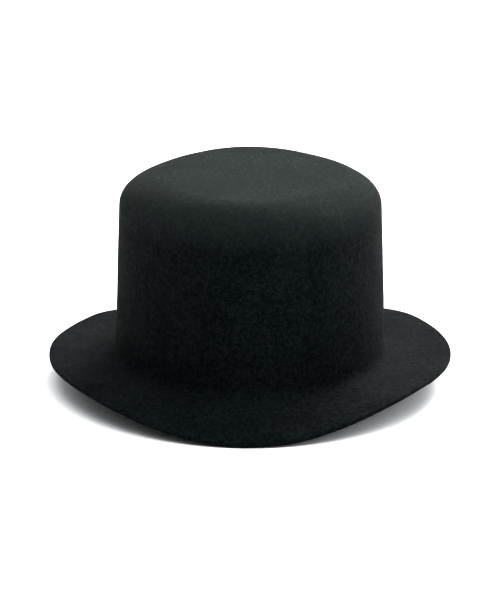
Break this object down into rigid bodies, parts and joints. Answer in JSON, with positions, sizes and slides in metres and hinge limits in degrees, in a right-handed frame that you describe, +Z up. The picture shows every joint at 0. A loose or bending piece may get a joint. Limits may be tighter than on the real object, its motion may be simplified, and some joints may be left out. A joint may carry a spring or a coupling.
{
  "type": "felt top hat",
  "caption": "Tall-crowned black wool-felt hat with a dipped raw-edge brim, leather sweatband, satin lining and a swinging care label inside",
  "frame": {"origin": "below the middle of the brim, on the surface that the hat stands on", "axes": "+Z up through the crown, -Y to the front of the hat, +X to the wearer's left"},
  "size_m": [0.2594, 0.3, 0.1349],
  "materials": {
    "felt": "black wool felt, matt, short dense nap",
    "sweatband_leather": "brown grained leather, satin",
    "backing_tape": "black cotton tape",
    "reed_tape": "black cotton tape, fine weave",
    "reed_plastic": "milky plastic",
    "thread": "black polyester thread",
    "label_thread": "off-white thread",
    "bow_ribbon": "black grosgrain ribbon",
    "lining_satin": "black satin",
    "lining_piping": "black satin over cord",
    "woven_label": "off-white woven polyester, blank"
  },
  "bodies": {
    "hat": {"felt_body": "felt", "sweatband_leather": "sweatband_leather", "joint_backing_tape": "backing_tape", "joint_cross_stitching": "thread", "sweatband_reed": "reed_plastic", "reed_tape": "reed_tape", "reed_zigzag_stitching": "thread", "sewing_in_stitches": "thread", "bow_ribbon": "bow_ribbon", "bow_knot": "bow_ribbon", "lining_side": "lining_satin", "lining_tip": "lining_satin", "lining_piping": "lining_piping", "lining_seam_stitching": "thread", "size_tag": "woven_label", "size_tag_stitches": "label_thread"},
    "care_label": {"care_label": "woven_label"}
  },
  "joints": [
    {"name": "care_label_swing", "type": "hinge", "parent": "hat", "child": "care_label", "pos_m": [0.0641, 0, 0.1232], "axis": [0, 1, 0], "range_deg": [-15, 80]}
  ]
}
